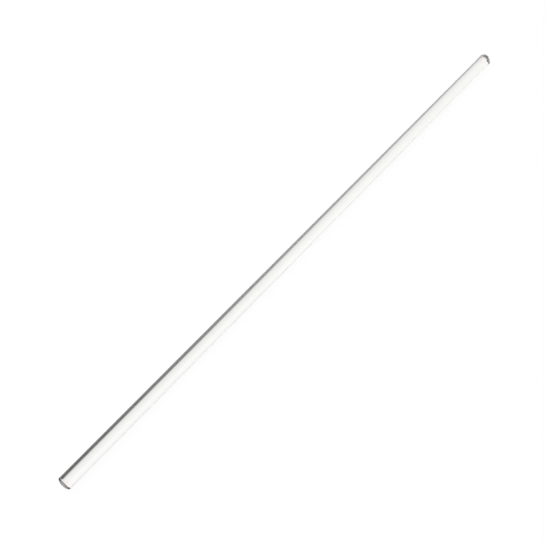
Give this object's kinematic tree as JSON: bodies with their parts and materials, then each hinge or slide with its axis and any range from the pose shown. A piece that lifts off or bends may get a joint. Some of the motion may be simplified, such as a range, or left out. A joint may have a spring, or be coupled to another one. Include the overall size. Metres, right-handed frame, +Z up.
{
  "type": "glass stirring rod",
  "caption": "Straight solid rod of clear glass, round in section, with both ends fire-polished to a low dome, for stirring and guiding liquids by hand.",
  "frame": {"origin": "on the rod's axis, midway between its two tips, which is the middle of the shank that holds it", "axes": "+X along the rod's axis, +Z up, +Y level across the rod; lying on a bench, the rod touches it along Z = -3 mm"},
  "size_m": [0.3, 0.006, 0.006],
  "materials": {
    "clear_glass": "clear drawn glass with a smooth natural skin and fire-polished ends"
  },
  "bodies": {
    "root": {"rod": "clear_glass"}
  },
  "joints": []
}
